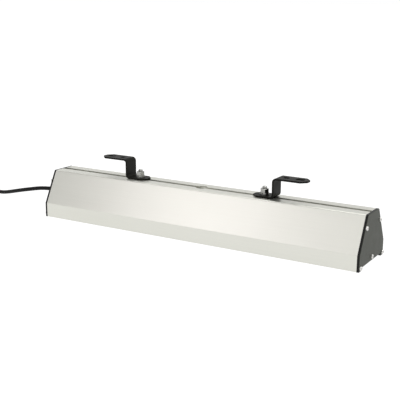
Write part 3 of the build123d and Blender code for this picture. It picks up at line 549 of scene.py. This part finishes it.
# The plug's outlines as (distance from the cord's end, radius). A rib's outline adds to where the rib starts.
RELIEF_END = [(0.0, 4.5), (0.3, 4.7)]
RIB_OUTLINE = [(0.0, 0.0), (1.9, 0.2), (2.1, -0.8), (3.4, -0.6)]
PLUG_OUTLINE = [
    (25.0, 7.4), (25.2, 9.2), (26.0, 10.4), (29.5, 12.2), (33.0, 13.4), (38.0, 13.7), (43.0, 14.0),
    (46.0, 14.6), (49.0, 16.4), (51.5, 18.2), (53.0, 18.8), (54.5, 19.0), (58.0, 19.0), (61.8, 19.0),
    (62.6, 18.7), (63.0, 18.0),
]
PLUG_AXIS_Z = 19.0
RIBS, RIB_START, RIB_PITCH = 6, 2.0, 3.6
RELIEF_NARROW, RELIEF_WIDENS = 4.9, 2.7
FLUTES, FLUTE_DEPTH = 24, 0.45
GRIP_START, GRIP_END = 27.0, 47.0
EARTH_SLOT_HALF, EARTH_SLOT_FLOOR = 3.0, 16.9


def moulded_plug():
    """The plug: a ribbed strain relief, a fluted grip, and the body with its two earth slots."""
    low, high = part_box("plug_body")
    centre_y = (low.y + high.y) / 2
    outline = list(RELIEF_END)
    for rib in range(RIBS):
        start = RIB_START + RIB_PITCH * rib
        reach = RELIEF_NARROW + RELIEF_WIDENS * rib / RIBS
        outline += [(start + along, reach + out) for along, out in RIB_OUTLINE]
    outline += PLUG_OUTLINE
    around = 144
    rings = []
    for along, reach in outline:
        flute = FLUTE_DEPTH if GRIP_START < along < GRIP_END else 0.0
        radii = []
        for k in range(around):
            angle = tau * k / around
            radius = reach - flute * (0.5 - 0.5 * cos(FLUTES * angle))
            if along > GRIP_END and abs(radius * cos(angle)) < EARTH_SLOT_HALF:
                radius = min(radius, EARTH_SLOT_FLOOR / abs(sin(angle)))
            radii.append(radius * MM)
        rings.append(ring_x(high.x - along * MM, centre_y, PLUG_AXIS_Z * MM, radii))
    piece("moulded_plug", skin("moulded_plug", rings), "plug_rubber", "hood", "plug_body")


moulded_plug()

slot_names = {subpart["node"]: subpart["material_slot"] for subpart in frame["record"]["subparts"]}
for node_name, cad_object in frame["nodes"].items():
    for slot in cad_object.material_slots:
        slot.material = finishes[slot_names[node_name]]

# Stage, light and background ----------------------------------------------------------------------

FLOOR = 30.0


def white_floor():
    """A plain floor that gives off its own light, so that it stays white right up to the object."""
    mesh = bpy.data.meshes.new("floor")
    corners = [(-FLOOR, -FLOOR, 0.0), (FLOOR, -FLOOR, 0.0), (FLOOR, FLOOR, 0.0), (-FLOOR, FLOOR, 0.0)]
    mesh.from_pydata(corners, [], [(0, 1, 2, 3)])
    floor = bpy.data.objects.new("floor", mesh)
    scene.collection.objects.link(floor)
    material, _, shader = blank("floor")
    for socket, value in (("Base Color", (0.08, 0.08, 0.08, 1.0)), ("Roughness", 0.9),
                          ("Specular IOR Level", 0.1), ("Emission Color", (1.0, 1.0, 1.0, 1.0)),
                          ("Emission Strength", 1.0)):
        shader.inputs[socket].default_value = value
    mesh.materials.append(material)


white_floor()


def lamp(name, kind, direction):
    """A light of that kind that shines along the direction."""
    made = bpy.data.objects.new(name, bpy.data.lights.new(name, kind))
    scene.collection.objects.link(made)
    made.rotation_mode = "QUATERNION"
    made.rotation_quaternion = Vector(direction).to_track_quat("-Z", "Y")
    return made


def softbox(name, place, target, size, power, colour):
    """A rectangular area light at a place, facing its target."""
    made = lamp(name, "AREA", Vector(target) - Vector(place))
    made.location = place
    made.data.shape = "RECTANGLE"
    made.data.size, made.data.size_y = size
    made.data.energy, made.data.color = power, colour


def distant(name, direction, strength, spread_angle):
    """A light from far away, as wide in the sky as its angle."""
    made = lamp(name, "SUN", direction)
    made.data.energy, made.data.angle = strength, radians(spread_angle)


softbox("key", (-0.46, -0.76, 0.62), (0, 0, 0.05), (0.46, 0.45), 1.25, (1.0, 0.955, 1.0))
softbox("fill", (0.12, -0.95, 0.78), (0.1, 0, 0.05), (0.5, 0.5), 0.8, (1.0, 0.995, 0.99))
distant("overhead", (-0.3387, -0.1392, -0.9306), 2.15, 50)
distant("edge_light", (0.25, -0.25, -0.93), 0.75, 45)

# The surroundings are white up to the first height and grey above the second. Straight up is 1.
WHITE_TO, GREY_FROM = 0.33, 0.5
world = bpy.data.worlds.new("studio")
scene.world = world
world.use_nodes = True
sky = world.node_tree
background = sky.nodes["Background"]
looking = sky.nodes.new("ShaderNodeTexCoord")
upward = sky.nodes.new("ShaderNodeSeparateXYZ")
sky.links.new(looking.outputs["Generated"], upward.inputs["Vector"])
sky_colour = ramp(sky, upward.outputs["Z"], WHITE_TO, GREY_FROM, (1.0, 1.0, 1.0), (0.42, 0.42, 0.42))
sky.links.new(sky_colour, background.inputs["Color"])
background.inputs["Strength"].default_value = 1.0
scene.view_settings.view_transform = "Standard"
